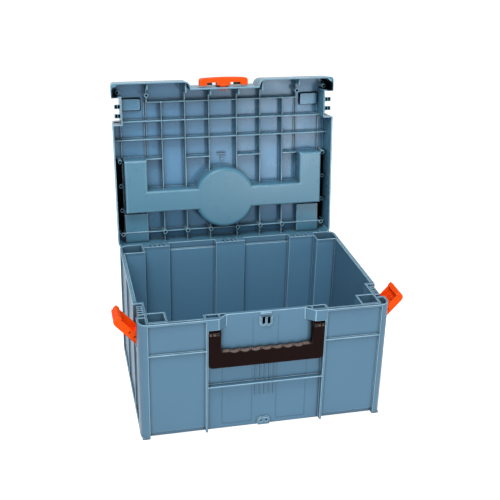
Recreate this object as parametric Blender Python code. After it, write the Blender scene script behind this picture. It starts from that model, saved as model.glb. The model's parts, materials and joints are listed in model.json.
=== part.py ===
"""Stackable storage case: base, hinged lid, turning front lock, side latches, folding handles and pins."""
import math

import bmesh
import bpy
from mathutils import Matrix, Vector

# Lengths below are millimetres and become metres where a mesh is made
MM = 0.001

# Envelope of the closed case
WIDTH = 396.0
DEPTH = 296.0
BASE_TOP = 205.6
BASE_BOTTOM = 2.0
LID_TALL = 46.0
CORNER_R = 15.0
HALF_W = WIDTH / 2
HALF_D = DEPTH / 2
FRONT = -HALF_D
REAR = HALF_D

# Fits and cutter run-out
CLEAR = 0.3
EMBED = 1.0
OVER = 12.0
# Offset that keeps two shapes of one helper from sharing a plane
STEP = 0.2

# Base walls and floor
FLOOR_TOP = 14.0
FLOOR_THICK = 3.0
PAN_X = HALF_W - 50.0
PAN_Y = HALF_D - 44.0
SIDE_WALL = 6.7
FRONT_WALL = 8.0
REAR_WALL = 7.5
REAR_WALL_TOP = 3.5
LEDGE_DOWN = 12.5
PANEL_DEEP = 3.5
PANEL_EDGE = 4.0
SIDE_RIB_Y = (30.0, 34.0)
PLINTH_TOP = 11.0
PLINTH_DEEP = 8.0
RIM_TALL = 3.6

# Corner columns and their open cells
COLUMN_FRONT_X = HALF_W - 45.5
COLUMN_FRONT_Y = 39.5
COLUMN_REAR_X = HALF_W - 42.0
COLUMN_REAR_Y = 37.0
COLUMN_WALL = 3.0
CELL_OUTER = 17.0
CELL_END = 11.0
CELL_REAR_SKIN = 4.0
CORNER_CELL_X = (13.0, 3.2)
CORNER_CELL_Y = (3.2, 25.0)
CORNER_CELL_FLOOR = 178.0
CELL_FLOOR = 22.0
FOOT_X = 12.5
FOOT_Y = 34.0
FOOT_INSET = 2.0

# Front of the base
POST_X = HALF_W - 14.4
BAY_RIB_OUT = 95.5
BAY_RIB_IN = 92.0
BAY_DEEP = 4.0
CROSS_RIB_Z = 151.0
CROSS_RIB_THICK = 2.0
CENTRE_TOP_DEEP = 13.0
CENTRE_LOW_DEEP = 8.0
CENTRE_INNER = 19.3
CENTRE_RIB_Z = 84.0
CENTRE_RIB_THICK = 2.2
CENTRE_RIB_DEEP = 1.5
CAP_IN = 76.0
CAP_TIP = 62.0
CAP_BOTTOM = 186.5
CAP_WALL = 2.5
CAP_CELL_X = (74.5, 94.0)
CAP_CELL_FRONT = 8.5
CAP_NOOK = ((72.2, 10.5), (66.6, 11.5), (63.8, 16.8), (72.2, 16.8))
GROOVE_IN = 2.5
GROOVE_WIDE = 2.5
GROOVE_DEEP = 2.0
LOW_CATCH_X = 10.0
LOW_CATCH_TOP = 15.0
LOW_CATCH_PROUD = 3.0
LOW_HOLE_Z = 9.5
LOW_HOLE_R = 2.6
CATCH_SLOT_X = 4.2
CATCH_SLOT_HALF = 2.3
CATCH_SLOT_TOP = 195.6
CATCH_SLOT_DEEP = 3.8
CATCH_R = 6.0

# Hinge: three stations of knuckles on the rear face
HINGE_DOWN = 15.0
HINGE_R = 5.0
HINGE_PIN_R = 1.6
HINGE_SIDE_X = HALF_W - 66.5
HINGE_HALF = 20.0
HINGE_STEP = 8.0
HINGE_POCKET = 5.6
PILASTER_Y = REAR - 17.0
PILASTER_IN = HALF_W - 88.0
PILASTER_CENTRE = 26.5
FINGER_UP = 9.0
FINGER_WRAP = 1.35 * math.pi
COMB_CUTS = (-12.0, -4.0, 4.0, 12.0)
COMB_CUT_Y = (REAR - 15.0, REAR - 6.5)
COMB_CUT_WIDE = 2.4
COMB_CUT_LEAN = 3.0
COMB_CUT_DEEP = 6.0
LID_OPEN = math.radians(96.7)

# Side latches
LATCH_PIVOT_IN = 7.0
LATCH_PIVOT_Z = 160.0
LATCH_FRONT = FRONT + 31.0
LATCH_REAR = FRONT + 69.0
LATCH_FACE = 6.5
LATCH_SKIN = 3.6
LATCH_TIP = 58.0
LATCH_R = 8.0
LATCH_LIP_R = 1.5
LATCH_GROOVE = (7.4, 6.0)
LATCH_GROOVE_DEEP = 2.0
LATCH_LIP_DEEP = 15.0
LATCH_WALL = 2.5
LATCH_WALL_DEEP = 13.0
LATCH_KNUCKLE = 6.2
LATCH_PIN_R = 2.0
LATCH_PIN_HOLD = 3.6
LATCH_SWING = math.radians(42.0)
POCKET_SIDE = 2.5
POCKET_FLOOR = 13.8
POCKET_BOTTOM = 150.0
SEAT_X = HALF_W - 17.0
SEAT_REAR = FRONT + 77.0
COMB_FRONT = FRONT + 35.0
COMB_REAR = FRONT + 65.0
COMB_OUT = 4.7
COMB_BOTTOM = 169.0
COMB_SLOTS = 4
COMB_SLOT_HALF = 1.4
COMB_SLOT_DEEP = 9.0

# Lid walls
LID_WALL = 3.0
LID_SIDE = 2.0
LID_DRAFT = 3.0
LID_CORNER_R = 6.0
LID_EAR_R = 12.5
LID_CENTRE_WALL = 2.6
LID_INNER_CUT = 9.0
POCKET_END = 5.0
BOSS_HOLE_STOP = 6.0
NOTCH_X = HALF_W - 16.0
NOTCH_FRONT = FRONT + 25.5
NOTCH_REAR = FRONT + 71.0
LID_CENTRE_X = 60.0
LID_CENTRE_DEEP = 13.0
CATCH_BARS = ((FRONT + 36.0, FRONT + 44.0), (FRONT + 52.0, FRONT + 60.0))
BAR_OUT = 4.5
BAR_LOW = 0.8
BAR_TOP = 4.3
BAR_SLOTS = ((HALF_W - 14.6, HALF_W - 11.2), (HALF_W - 9.6, HALF_W - 6.2))
BAR_SLOT_HALF = 2.7
BAR_SKIN = 0.7
LIP_RISE = 4.8

# Lid inside, heights measured from the rim
RIB_HALF = 1.0
RIB_DEPTH = 26.0
ROW_DEPTH = 26.5
RIB_X = (25.2, 68.3)
RIB_SHORT_X = HALF_W - 88.0
RIB_THIN_X = HALF_W - 62.5
RIB_THIN_HALF = 0.6
RIB_THIN_DEPTH = 40.5
RIB_THIN_PITCH = 3.6
ROW_FRONT = FRONT + 38.0
ROW_REAR = REAR - 22.6
ROW_END = HALF_W - 4.0
ROWS = ((ROW_FRONT, RIB_THIN_X + 1.0), (FRONT + 71.0, ROW_END), (FRONT + 103.5, ROW_END), (ROW_REAR, ROW_END))
GUSSETS = ((RIB_X[0], FRONT + 16.0, FRONT + 26.5), (RIB_X[1], FRONT + 6.0, FRONT + 21.0),
           (RIB_THIN_X, FRONT + 4.0, FRONT + 13.0))
GUSSET_DEPTH = 5.0
SIDE_RIB_DEPTH = 38.5
BOSS_R = 4.0
BOSS_HOLE_R = 2.0
BOSS_DEPTH = 20.0
U_OUT = HALF_W - 18.0
U_IN = HALF_W - 58.0
U_FRONT = REAR - 159.0
U_BAR_FRONT = REAR - 102.5
U_REAR = REAR - 63.7
U_DEPTH = 9.0
U_WALL = 3.0
DOME_Y = REAR - 83.0
DOME_R = 55.0
CROWN_R = 49.5
DOME_DEPTH = 14.0
WELL_R = 46.5
PAD_FRONT = (HALF_W - 52.0, HALF_W - 21.0, FRONT + 33.0, FRONT + 52.0, 35.0)
PAD_REAR = (HALF_W - 58.0, HALF_W - 17.0, REAR - 57.0, REAR - 4.5, 27.6)
ROW_U = U_FRONT + 2.0
ROW_U_PARTS = ((RIB_X[0] - RIB_HALF, RIB_X[1] + RIB_HALF), (RIB_SHORT_X - RIB_HALF, U_IN + EMBED))
BOSS_SIDE_X = HALF_W - 11.7
BOSSES = ((BOSS_SIDE_X - 0.8, FRONT + 18.5), (RIB_THIN_X, FRONT + 25.0), (BOSS_SIDE_X, U_FRONT + 3.0),
          (BOSS_SIDE_X, U_FRONT + 47.0), (BOSS_SIDE_X, U_REAR - 3.8), (BOSS_SIDE_X, ROW_REAR),
          (RIB_SHORT_X, ROW_REAR), (RIB_X[1], ROW_REAR), (RIB_X[0], ROW_REAR))

# Front lock on the lid
LOCK_UP = 18.0
LOCK_HALF = 43.0
LOCK_BAR_HALF = 7.0
LOCK_FACE = -3.0
LOCK_END_DEEP = -1.2
LOCK_END_R = 3.0
LOCK_BACK = 10.7
LOCK_WINDOW = (12.0, 30.0)
LOCK_WINDOW_DEEP = 5.6
LOCK_TONGUE_R = 27.0
LOCK_LIP_R = 24.3
LOCK_TONGUE_ANGLE = math.radians(22.0)
LOCK_PLATE = (4.5, 8.0)
LOCK_LIP_END = 12.2
LOCK_HUB_R = 9.0
LOCK_SHAFT_R = 6.0
LOCK_HEAD_R = 7.4
LOCK_HEAD_LONG = 3.7
LOCK_SPLIT_HALF = 2.0
LOCK_SPLIT_DEEP = 2.0
LOCK_LIP_PART = 0.95
KEEPER_X = 8.0
KEEPER_DOWN = 2.0
KEEPER_FACE = 11.0
KEEPER_GAP = 0.3
CATCH_BOTTOM = 180.0

# Front handle
HANDLE_ARM = 19.2
HANDLE_LOW = 119.5
HANDLE_BAR_TOP = 147.3
HANDLE_PIVOT_Z = 180.0
HANDLE_THICK = 10.0
HANDLE_R = 5.2
HANDLE_PIN_R = 2.0
HANDLE_CORNER = 6.0
HANDLE_INNER_R = 3.0
HANDLE_PIN_IN = 3.0
SCALLOPS = 7
SCALLOP_R = 12.0
SCALLOP_DEEP = 2.4
SCALLOP_PITCH = 17.0

# Handle in the lid's top
GRIP_ARM_IN = HALF_W - 51.0
GRIP_ARM_OUT = HALF_W - 25.0
GRIP_BAR_FRONT = REAR - 96.0
GRIP_BAR_REAR = REAR - 70.0
GRIP_PIVOT_Y = REAR - 146.0
GRIP_PIVOT_UP = 35.0
GRIP_BELOW = 8.0
GRIP_ABOVE = 8.4
GRIP_R = 8.7
GRIP_PIN_R = 2.5
GRIP_PIN_HOLD = 2.0
GRIP_OUTER_R = 8.0
GRIP_INNER_R = 5.0

# Values that follow from the ones above
LID_LOW = BASE_TOP + CLEAR
LID_TOP = BASE_TOP + LID_TALL
CEILING = LID_TOP - LID_WALL
CENTRE_FACE = FRONT + CENTRE_TOP_DEEP
HINGE_Z = BASE_TOP - HINGE_DOWN
HINGE_STATIONS = (("left", -HINGE_SIDE_X), ("centre", 0.0), ("right", HINGE_SIDE_X))
LATCH_PIVOT_X = HALF_W - LATCH_PIVOT_IN
LOCK_Z = BASE_TOP + LOCK_UP
LID_FACE = FRONT + LID_CENTRE_DEEP
HANDLE_OUT = BAY_RIB_IN - CLEAR
HANDLE_IN = HANDLE_OUT - HANDLE_ARM
HANDLE_Y = FRONT + HANDLE_THICK / 2
GRIP_Z = BASE_TOP + GRIP_PIVOT_UP
SIDES = (("left", -1), ("right", 1))

BODY_BLUE = (0.105, 0.215, 0.330, 1.0)
ORANGE = (0.900, 0.105, 0.016, 1.0)
BROWN = (0.022, 0.011, 0.010, 1.0)
STEEL = (0.450, 0.450, 0.460, 1.0)
BODY_ROUGH = 0.42
ORANGE_ROUGH = 0.38
BROWN_ROUGH = 0.40
STEEL_ROUGH = 0.30

AXIS_FRAME = {
    "X": Matrix(((0, 0, 1, 0), (1, 0, 0, 0), (0, 1, 0, 0), (0, 0, 0, 1))),
    "Y": Matrix(((1, 0, 0, 0), (0, 0, -1, 0), (0, 1, 0, 0), (0, 0, 0, 1))),
    "Z": Matrix.Identity(4),
}
AXIS_VECTOR = {"X": Vector((1, 0, 0)), "Y": Vector((0, 1, 0)), "Z": Vector((0, 0, 1))}


def add_box(bm, xs, ys, zs):
    """Add a box between two x, two y and two z values."""
    middle = Vector(((xs[0] + xs[1]) / 2, (ys[0] + ys[1]) / 2, (zs[0] + zs[1]) / 2))
    size = Matrix.Diagonal((abs(xs[1] - xs[0]), abs(ys[1] - ys[0]), abs(zs[1] - zs[0]), 1.0))
    place = Matrix.Scale(MM, 4) @ Matrix.Translation(middle) @ size
    bmesh.ops.create_cube(bm, size=1.0, matrix=place)


def add_cylinder(bm, axis, centre, radius, low, high, segments=24):
    """Add a round bar along an axis; centre holds the other two coordinates in x, y, z order."""
    turn = AXIS_FRAME[axis]
    middle = turn @ Vector((centre[0], centre[1], 0.0)) + AXIS_VECTOR[axis] * (low + high) / 2
    place = Matrix.Scale(MM, 4) @ Matrix.Translation(middle) @ turn
    bmesh.ops.create_cone(bm, cap_ends=True, segments=segments, radius1=radius, radius2=radius,
                          depth=high - low, matrix=place)


def add_prism(bm, outline, axis, low, high):
    """Add a flat outline pulled along an axis; the outline holds the other two coordinates."""
    curve = bpy.data.curves.new("outline", "CURVE")
    curve.dimensions = "2D"
    curve.fill_mode = "BOTH"
    curve.extrude = (high - low) / 2 * MM
    spline = curve.splines.new("POLY")
    spline.points.add(len(outline) - 1)
    for point, (u, v) in zip(spline.points, outline):
        point.co = (u * MM, v * MM, 0.0, 1.0)
    spline.use_cyclic_u = True
    holder = bpy.data.objects.new("outline", curve)
    bpy.context.scene.collection.objects.link(holder)
    depsgraph = bpy.context.evaluated_depsgraph_get()
    mesh = bpy.data.meshes.new_from_object(holder.evaluated_get(depsgraph))
    bpy.data.objects.remove(holder, do_unlink=True)
    shape = bmesh.new()
    shape.from_mesh(mesh)
    bmesh.ops.remove_doubles(shape, verts=shape.verts, dist=0.00001)
    bmesh.ops.dissolve_limit(shape, angle_limit=math.radians(0.2), verts=shape.verts, edges=shape.edges)
    middle = AXIS_VECTOR[axis] * (low + high) / 2 * MM
    bmesh.ops.transform(shape, matrix=Matrix.Translation(middle) @ AXIS_FRAME[axis], verts=shape.verts)
    bmesh.ops.recalc_face_normals(shape, faces=shape.faces)
    shape.to_mesh(mesh)
    shape.free()
    bm.from_mesh(mesh)
    bpy.data.meshes.remove(mesh)


def arc(centre, radius, start, end, steps):
    """Points of an arc between two angles."""
    points = []
    for index in range(steps + 1):
        angle = start + (end - start) * index / steps
        points.append((centre[0] + radius * math.cos(angle), centre[1] + radius * math.sin(angle)))
    return points


def rounded(points, radii, steps=5):
    """Replace the corners of an outline by arcs of the given radii."""
    result = []
    for index, radius in enumerate(radii):
        corner = Vector(points[index])
        if radius == 0:
            result.append(tuple(corner))
            continue
        back = (Vector(points[index - 1]) - corner).normalized()
        ahead = (Vector(points[(index + 1) % len(points)]) - corner).normalized()
        half = back.angle(ahead) / 2
        centre = corner + (back + ahead).normalized() * radius / math.sin(half)
        first = corner + back * radius / math.tan(half) - centre
        last = corner + ahead * radius / math.tan(half) - centre
        start = math.atan2(first.y, first.x)
        sweep = math.atan2(last.y, last.x) - start
        sweep = (sweep + math.pi) % (2 * math.pi) - math.pi
        result.extend(arc(centre, radius, start, start + sweep, steps))
    return result


def mirrored(half):
    """Close the right half of an outline with its mirror image."""
    return half + [(-x, y) for x, y in reversed(half) if x > 0]


def solid(name, bm, group):
    """Make an object from a bmesh and put it in a collection."""
    mesh = bpy.data.meshes.new(name)
    bm.to_mesh(mesh)
    bm.free()
    item = bpy.data.objects.new(name, mesh)
    group.objects.link(item)
    return item


def boolean(target, name, bm, operation, group):
    """Add or cut a shape; the shape is kept as a hidden helper."""
    tool = solid(target.name + "_" + name, bm, group)
    tool.hide_render = True
    tool.display_type = "WIRE"
    step = target.modifiers.new(name, "BOOLEAN")
    step.operation = operation
    step.solver = "EXACT"
    step.use_self = True
    step.object = tool
    return tool


def finish(item, colour, roughness, metallic=0.0, smooth_angle=30.0):
    """Give a piece its own material and smooth its round faces."""
    material = bpy.data.materials.new(item.name)
    material.use_nodes = True
    shader = material.node_tree.nodes["Principled BSDF"]
    shader.inputs["Base Color"].default_value = colour
    shader.inputs["Roughness"].default_value = roughness
    shader.inputs["Metallic"].default_value = metallic
    item.data.materials.append(material)
    item.data.shade_smooth()
    item.data.set_sharp_from_angle(angle=math.radians(smooth_angle))


def pivot(name, place, group, items):
    """Put an empty on a joint axis and hang pieces from it, all still in the closed pose."""
    empty = bpy.data.objects.new(name, None)
    group.objects.link(empty)
    empty.location = Vector(place) * MM
    for item in items:
        item.parent = empty
        item.matrix_parent_inverse = Matrix.Translation(-empty.location)
    return empty


def build_base(case, cutters):
    """The lower shell with its posts, panels, cells, latch seats and hinge knuckles."""
    body = bmesh.new()
    corners = [(HALF_W, FRONT), (HALF_W, REAR), (-HALF_W, REAR), (-HALF_W, FRONT)]
    add_prism(body, rounded(corners, [CORNER_R] * 4), "Z", BASE_BOTTOM, BASE_TOP)
    base = solid("base_shell", body, case)
    above = BASE_TOP + OVER
    front_inner = FRONT + FRONT_WALL
    centre_inner = FRONT + CENTRE_INNER
    side_inner = HALF_W - SIDE_WALL
    rear_inner = REAR - REAR_WALL
    latch_floor = HALF_W - POCKET_FLOOR

    outside = bmesh.new()
    rim_low = BASE_TOP - RIM_TALL
    rib_low = CROSS_RIB_Z - CROSS_RIB_THICK / 2
    rib_high = CROSS_RIB_Z + CROSS_RIB_THICK / 2
    front = (FRONT - OVER, FRONT + BAY_DEEP)
    plinth = (FRONT - OVER - STEP, FRONT + PLINTH_DEEP)
    back = (REAR - PANEL_DEEP, REAR + OVER)
    back_high = (PLINTH_TOP, BASE_TOP - LEDGE_DOWN - PANEL_EDGE)
    for side in (-1, 1):
        bay = (side * BAY_RIB_OUT, side * POST_X)
        add_box(outside, bay, front, (-OVER, rib_low))
        add_box(outside, bay, front, (rib_high, rim_low))
        add_box(outside, bay, plinth, (-OVER - STEP, PLINTH_TOP))
        wall = (side * (HALF_W - PANEL_DEEP), side * (HALF_W + OVER))
        add_box(outside, wall, (SEAT_REAR + PANEL_EDGE, SIDE_RIB_Y[0]), (PLINTH_TOP, rim_low))
        add_box(outside, wall, (SIDE_RIB_Y[1], REAR - CORNER_R), (PLINTH_TOP, rim_low))
        add_box(outside, wall, (NOTCH_FRONT, SEAT_REAR), (PLINTH_TOP, POCKET_BOTTOM - PANEL_EDGE))
        panel = (side * (PILASTER_CENTRE + PANEL_EDGE), side * (PILASTER_IN - PANEL_EDGE))
        add_box(outside, panel, back, back_high)
        add_box(outside, (side * (COLUMN_REAR_X + EMBED), side * POST_X), back, back_high)
    centre_low = FRONT + CENTRE_LOW_DEEP
    lean = [(FRONT - OVER, -OVER), (centre_low, -OVER), (centre_low, BASE_BOTTOM), (CENTRE_FACE, BASE_TOP),
            (CENTRE_FACE, above), (FRONT - OVER, above)]
    add_prism(outside, lean, "X", -BAY_RIB_IN, BAY_RIB_IN)
    boolean(base, "outside", outside, "DIFFERENCE", cutters)

    added = bmesh.new()
    seat_y = CENTRE_FACE + EMBED
    foot_x = HALF_W - FOOT_INSET
    foot_y = HALF_D - FOOT_INSET
    for side in (-1, 1):
        cap_out = side * (BAY_RIB_IN + EMBED)
        cap = [(cap_out, FRONT), (side * CAP_IN, FRONT), (side * CAP_TIP, CENTRE_FACE),
               (side * CAP_TIP, seat_y), (cap_out, seat_y)]
        add_prism(added, cap, "Z", CAP_BOTTOM, BASE_TOP)
        foot = (side * (foot_x - FOOT_X), side * foot_x)
        add_box(added, foot, (-foot_y, -foot_y + FOOT_Y), (0, BASE_BOTTOM + EMBED))
        add_box(added, foot, (foot_y - FOOT_Y, foot_y), (0, BASE_BOTTOM + EMBED))
    add_box(added, (-PAN_X, PAN_X), (-PAN_Y, PAN_Y), (0, BASE_BOTTOM + EMBED))
    centre_rib = (CENTRE_RIB_Z - CENTRE_RIB_THICK / 2, CENTRE_RIB_Z + CENTRE_RIB_THICK / 2)
    add_box(added, (-BAY_RIB_IN - EMBED, BAY_RIB_IN + EMBED), (FRONT + CENTRE_RIB_DEEP, seat_y), centre_rib)
    keeper_r = LOCK_LIP_R - KEEPER_GAP
    keeper_turn = math.asin(KEEPER_X / keeper_r)
    keeper = arc((0, LOCK_Z), keeper_r, -math.pi / 2 - keeper_turn, -math.pi / 2 + keeper_turn, 8)
    keeper = keeper + [(KEEPER_X, BASE_TOP - KEEPER_DOWN), (-KEEPER_X, BASE_TOP - KEEPER_DOWN)]
    add_prism(added, keeper, "Y", FRONT + KEEPER_FACE, seat_y)
    catch_top = LOCK_Z - LOCK_TONGUE_R - 2 * CLEAR
    catch = [(-LOW_CATCH_X, CATCH_BOTTOM), (LOW_CATCH_X, CATCH_BOTTOM),
             (LOW_CATCH_X, catch_top), (-LOW_CATCH_X, catch_top)]
    catch = rounded(catch, [CATCH_R, CATCH_R, 0, 0])
    add_prism(added, catch, "Y", FRONT + KEEPER_FACE, seat_y + EMBED)
    low_catch = [(-LOW_CATCH_X, BASE_BOTTOM), (LOW_CATCH_X, BASE_BOTTOM),
                 (LOW_CATCH_X, LOW_CATCH_TOP), (-LOW_CATCH_X, LOW_CATCH_TOP)]
    low_catch = rounded(low_catch, [0, 0, CATCH_R, CATCH_R])
    add_prism(added, low_catch, "Y", centre_low - LOW_CATCH_PROUD, centre_low + EMBED)
    boolean(base, "added", added, "UNION", cutters)

    inside = bmesh.new()
    bay_inner = BAY_RIB_OUT + 2 * EMBED
    column_front = FRONT + COLUMN_FRONT_Y
    column_rear = REAR - COLUMN_REAR_Y
    plan = [(0, centre_inner), (bay_inner, centre_inner), (bay_inner, front_inner),
            (COLUMN_FRONT_X, front_inner), (COLUMN_FRONT_X, column_front),
            (SEAT_X, column_front), (SEAT_X, SEAT_REAR), (side_inner, SEAT_REAR),
            (side_inner, column_rear), (COLUMN_REAR_X, column_rear),
            (COLUMN_REAR_X, PILASTER_Y), (PILASTER_IN, PILASTER_Y), (PILASTER_IN, rear_inner),
            (PILASTER_CENTRE, rear_inner), (PILASTER_CENTRE, PILASTER_Y), (0, PILASTER_Y)]
    add_prism(inside, mirrored(plan), "Z", FLOOR_TOP, above)
    pan_x = PAN_X - FLOOR_THICK
    pan_y = PAN_Y - FLOOR_THICK
    add_box(inside, (-pan_x, pan_x), (-pan_y, pan_y), (FLOOR_THICK, FLOOR_TOP + EMBED))
    column_high = (CELL_FLOOR, above + STEP)
    ledge_high = (BASE_TOP - LEDGE_DOWN, above + 2 * STEP)
    for side in (-1, 1):
        ledge = (side * PILASTER_CENTRE, side * PILASTER_IN)
        add_box(inside, ledge, (rear_inner - OVER, REAR - REAR_WALL_TOP), ledge_high)
        cell = (side * (COLUMN_FRONT_X + COLUMN_WALL), side * (HALF_W - CELL_OUTER))
        add_box(inside, cell, (FRONT + CELL_END, column_front - COLUMN_WALL), column_high)
        far = HALF_W - CELL_REAR_SKIN
        near = COLUMN_REAR_X + COLUMN_WALL
        cell_y = (column_rear + COLUMN_WALL, REAR - CELL_REAR_SKIN)
        cell = [(near, cell_y[0]), (far, cell_y[0]), (far, cell_y[1]), (near, cell_y[1])]
        cell = rounded(cell, [0, 0, CORNER_R - CELL_REAR_SKIN, 0])
        add_prism(inside, [(side * x, y) for x, y in cell], "Z", *column_high)
        far = HALF_W - CORNER_CELL_X[1]
        near = HALF_W - CORNER_CELL_X[0]
        cell_y = [FRONT + deep for deep in CORNER_CELL_Y]
        cell = [(near, cell_y[0]), (far, cell_y[0]), (far, cell_y[1]), (near, cell_y[1])]
        cell = rounded(cell, [0, CORNER_R - CORNER_CELL_X[1] - CLEAR, 0, 0])
        add_prism(inside, [(side * x, y) for x, y in cell], "Z", CORNER_CELL_FLOOR, above)
        cell = [side * x for x in CAP_CELL_X]
        cell_high = (CAP_BOTTOM + CAP_WALL, above)
        add_box(inside, cell, (FRONT + CAP_CELL_FRONT, centre_inner - CAP_WALL), cell_high)
        nook = [(side * x, FRONT + deep) for x, deep in CAP_NOOK]
        add_prism(inside, nook, "Z", *cell_high)
        pocket = (side * latch_floor, side * (HALF_W + OVER))
        add_box(inside, pocket, (LATCH_FRONT - POCKET_SIDE, LATCH_REAR + POCKET_SIDE), (POCKET_BOTTOM, above))
        groove = (side * (BAY_RIB_OUT + EMBED), side * POST_X)
        groove_y = (FRONT + GROOVE_IN, FRONT + GROOVE_IN + GROOVE_WIDE)
        add_box(inside, groove, groove_y, (BASE_TOP - GROOVE_DEEP, above))
        slot = (side * CATCH_SLOT_X - CATCH_SLOT_HALF, side * CATCH_SLOT_X + CATCH_SLOT_HALF)
        slot_y = (FRONT, CENTRE_FACE + CATCH_SLOT_DEEP)
        add_box(inside, slot, slot_y, (CATCH_BOTTOM + CATCH_R / 2, CATCH_SLOT_TOP))
        hole = (side * CATCH_SLOT_X, LOW_HOLE_Z)
        add_cylinder(inside, "Y", hole, LOW_HOLE_R, FRONT, centre_low - EMBED, 12)
    for label, station in HINGE_STATIONS:
        for start in (-HINGE_HALF + HINGE_STEP, HINGE_HALF - 2 * HINGE_STEP):
            slot = (station + start, station + start + HINGE_STEP)
            add_box(inside, slot, (REAR - HINGE_POCKET, REAR + OVER), (HINGE_Z - HINGE_POCKET, above))
        for middle in COMB_CUTS:
            cut = station + middle
            lean = cut - COMB_CUT_LEAN
            outline = [(cut, COMB_CUT_Y[0]), (cut + COMB_CUT_WIDE, COMB_CUT_Y[0]),
                       (lean + COMB_CUT_WIDE, COMB_CUT_Y[1]), (lean, COMB_CUT_Y[1])]
            add_prism(inside, outline, "Z", BASE_TOP - COMB_CUT_DEEP, above)
    boolean(base, "inside", inside, "DIFFERENCE", cutters)

    knuckles = bmesh.new()
    for label, station in HINGE_STATIONS:
        for start in (-HINGE_HALF, -HINGE_STEP / 2, HINGE_HALF - HINGE_STEP):
            low = station + start + CLEAR / 2
            add_cylinder(knuckles, "X", (REAR, HINGE_Z), HINGE_R, low, low + HINGE_STEP - CLEAR)
    for side in (-1, 1):
        comb = (side * (latch_floor - EMBED), side * (HALF_W - COMB_OUT))
        add_box(knuckles, comb, (COMB_FRONT, COMB_REAR), (COMB_BOTTOM, BASE_TOP))
    boolean(base, "knuckles", knuckles, "UNION", cutters)

    bores = bmesh.new()
    for label, station in HINGE_STATIONS:
        reach = HINGE_HALF - EMBED + CLEAR
        add_cylinder(bores, "X", (REAR, HINGE_Z), HINGE_PIN_R + CLEAR, station - reach, station + reach, 16)
    pin_low = LATCH_FRONT - POCKET_SIDE - LATCH_PIN_HOLD - CLEAR
    pin_high = LATCH_REAR + POCKET_SIDE + LATCH_PIN_HOLD + CLEAR
    pitch = (COMB_REAR - COMB_FRONT) / (COMB_SLOTS + 1)
    for side in (-1, 1):
        axle = (side * LATCH_PIVOT_X, LATCH_PIVOT_Z)
        add_cylinder(bores, "Y", axle, LATCH_PIN_R + CLEAR, pin_low, pin_high, 16)
        ends = sorted((side * HANDLE_IN, side * (BAY_RIB_OUT - EMBED + CLEAR)))
        add_cylinder(bores, "X", (HANDLE_Y, HANDLE_PIVOT_Z), HANDLE_PIN_R + CLEAR, ends[0], ends[1], 16)
        tooth = (side * (latch_floor + 2 * EMBED), side * HALF_W)
        for index in range(COMB_SLOTS):
            middle = COMB_FRONT + pitch * (index + 1)
            slot = (middle - COMB_SLOT_HALF, middle + COMB_SLOT_HALF)
            add_box(bores, tooth, slot, (BASE_TOP - COMB_SLOT_DEEP, above))
    boolean(base, "bores", bores, "DIFFERENCE", cutters)
    finish(base, BODY_BLUE, BODY_ROUGH)
    return base


def draw_in(bm, top, inset):
    """Lean the outer walls of a lid shape inward toward its top."""
    margin = CORNER_R + EMBED
    for vert in bm.verts:
        x, y, z = vert.co / MM
        if z < top - EMBED:
            continue
        if abs(x) > HALF_W - margin:
            vert.co.x -= math.copysign(inset, x) * MM
        if y > REAR - margin:
            vert.co.y -= inset * MM
        if y < LID_FACE:
            vert.co.y += inset * (LID_FACE - y) / LID_CENTRE_DEEP * MM
    bmesh.ops.connect_verts_nonplanar(bm, angle_limit=math.radians(0.05), faces=bm.faces)


def recess_outline(inset, round_r):
    """Outline of the U-shaped handle recess with its round middle, drawn in by an inset."""
    arm_in = U_IN + inset
    arm_out = U_OUT - inset
    bar_front = U_BAR_FRONT + inset
    bar_rear = U_REAR - inset
    centre = (0, DOME_Y)
    turn = math.asin((DOME_Y - bar_front) / round_r)
    front_arc = arc(centre, round_r, -math.pi / 2, -turn, 12)
    turn = math.asin((bar_rear - DOME_Y) / round_r)
    rear_arc = arc(centre, round_r, turn, math.pi / 2, 12)
    half = front_arc + [(arm_in, bar_front), (arm_in, U_FRONT + inset), (arm_out, U_FRONT + inset),
                        (arm_out, bar_rear)] + rear_arc
    half[0] = (0, DOME_Y - round_r)
    half[-1] = (0, DOME_Y + round_r)
    return mirrored(half)


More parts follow.
